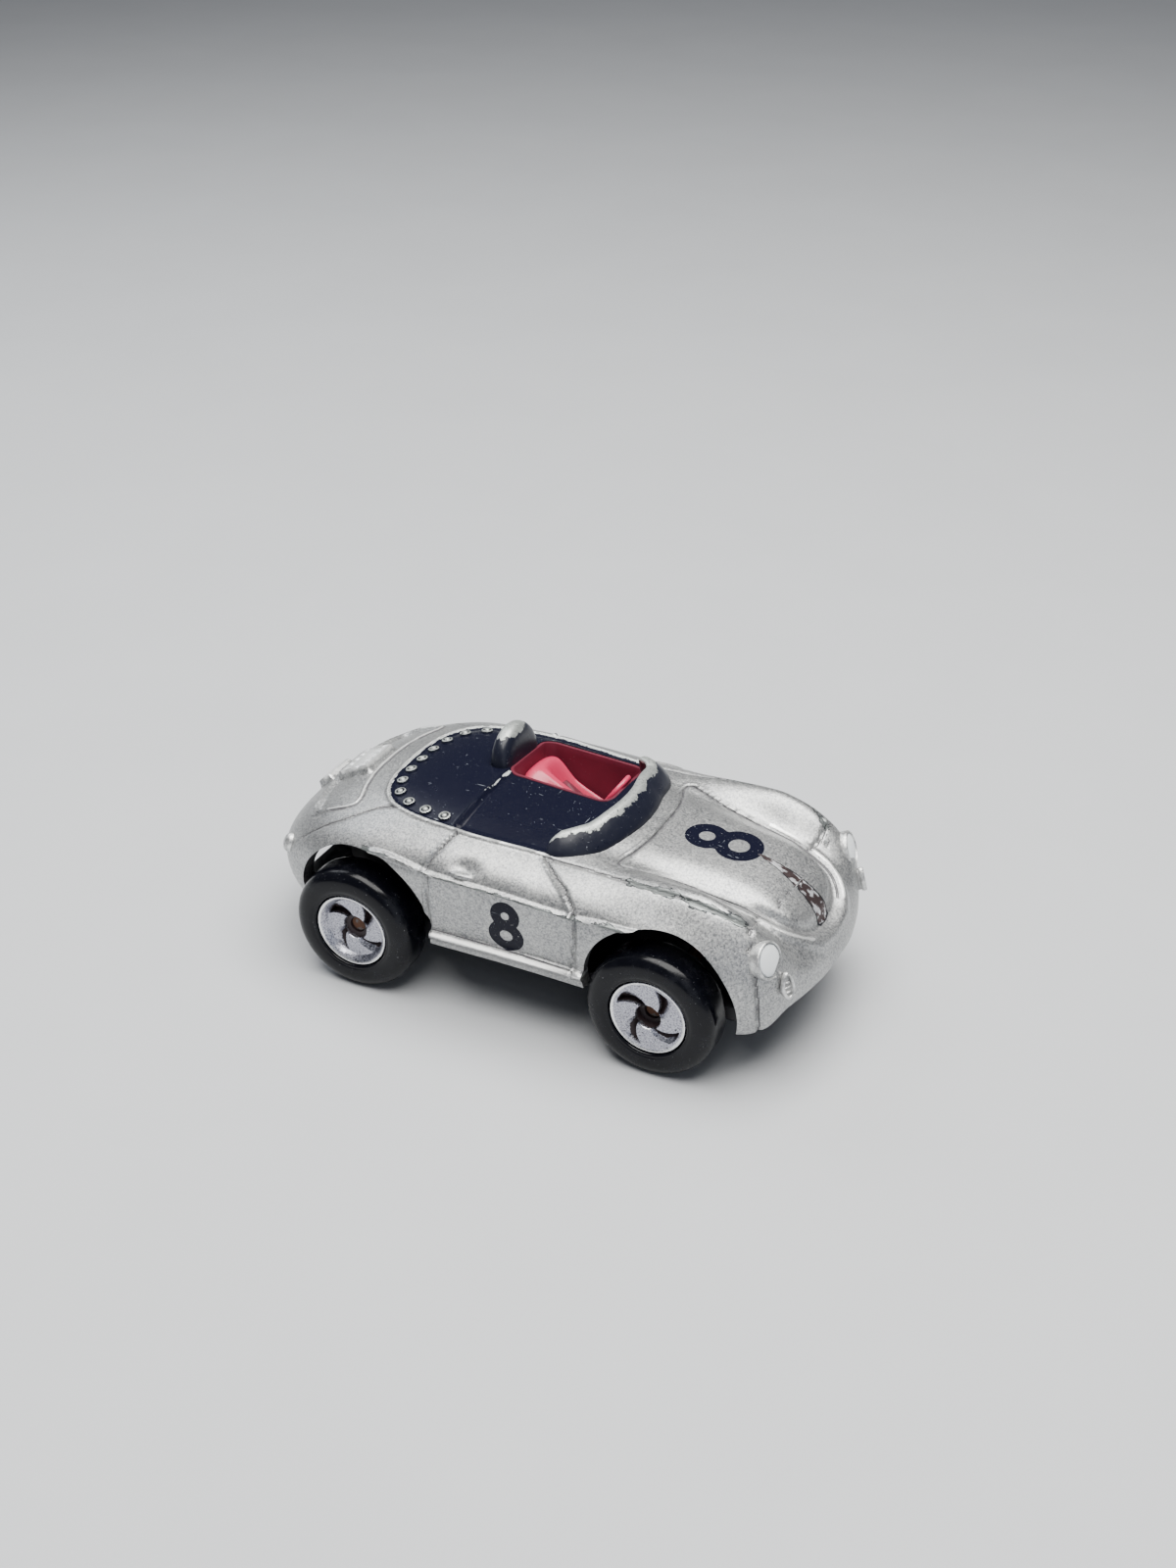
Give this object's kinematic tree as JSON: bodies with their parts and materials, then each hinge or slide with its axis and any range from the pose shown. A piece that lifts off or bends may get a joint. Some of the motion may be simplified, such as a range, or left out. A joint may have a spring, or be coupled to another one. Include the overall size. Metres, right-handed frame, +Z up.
{
  "type": "pull back toy car",
  "caption": "Small open toy roadster with a painted shell, red interior, black chassis, plated wheels and a geared spring motor on the rear axle.",
  "frame": {"origin": "on the ground under the middle of the car's box", "axes": "+X towards the nose, +Y to the car's left, +Z up"},
  "size_m": [0.0344, 0.0176, 0.0133],
  "materials": {
    "silver_paint": "silver metallic enamel, worn, with black painted panels",
    "red_plastic": "red moulded plastic",
    "black_plastic": "black moulded plastic",
    "motor_plastic": "black moulded plastic",
    "tyre_black": "smooth black tyre compound",
    "hub_chrome": "vacuum plated plastic, worn",
    "axle_steel": "plain steel wire, lightly rusted",
    "screw_steel": "plated steel",
    "spring_steel": "blued spring strip",
    "gear_nylon": "natural nylon"
  },
  "bodies": {
    "car_body": {"body_shell": "silver_paint", "interior_tub": "red_plastic", "chassis_plate": "black_plastic", "chassis_screw_front": "screw_steel", "chassis_screw_rear": "screw_steel", "motor_case_left": "motor_plastic", "motor_case_right": "motor_plastic", "clutch_gear_pin": "axle_steel", "spring_arbor": "axle_steel", "mainspring": "spring_steel"},
    "front_axle_set": {"front_axle": "axle_steel", "tyre_front_left": "tyre_black", "hub_front_left": "hub_chrome", "tyre_front_right": "tyre_black", "hub_front_right": "hub_chrome"},
    "rear_axle_set": {"rear_axle": "axle_steel", "drive_pinion": "gear_nylon", "tyre_rear_left": "tyre_black", "hub_rear_left": "hub_chrome", "tyre_rear_right": "tyre_black", "hub_rear_right": "hub_chrome"},
    "clutch_gear_set": {"clutch_gear": "gear_nylon"},
    "spring_gear_set": {"spring_gear": "gear_nylon"}
  },
  "joints": [
    {"name": "front_axle_spin", "type": "hinge", "parent": "car_body", "child": "front_axle_set", "pos_m": [0.00928, 0, 0.00388], "axis": [0, 1, 0], "continuous": true},
    {"name": "rear_axle_spin", "type": "hinge", "parent": "car_body", "child": "rear_axle_set", "pos_m": [-0.00968, 0, 0.00388], "axis": [0, 1, 0], "continuous": true},
    {"name": "clutch_gear_spin", "type": "hinge", "parent": "car_body", "child": "clutch_gear_set", "pos_m": [-0.00948, 0, 0.00688], "axis": [0, 1, 0], "continuous": true},
    {"name": "spring_gear_spin", "type": "hinge", "parent": "car_body", "child": "spring_gear_set", "pos_m": [-0.00641, 0, 0.0052], "axis": [0, 1, 0], "continuous": true}
  ],
  "couplings": [
    {"joint": "clutch_gear_spin", "follows": "rear_axle_spin", "ratio": -0.5},
    {"joint": "spring_gear_spin", "follows": "rear_axle_spin", "ratio": 0.2}
  ]
}
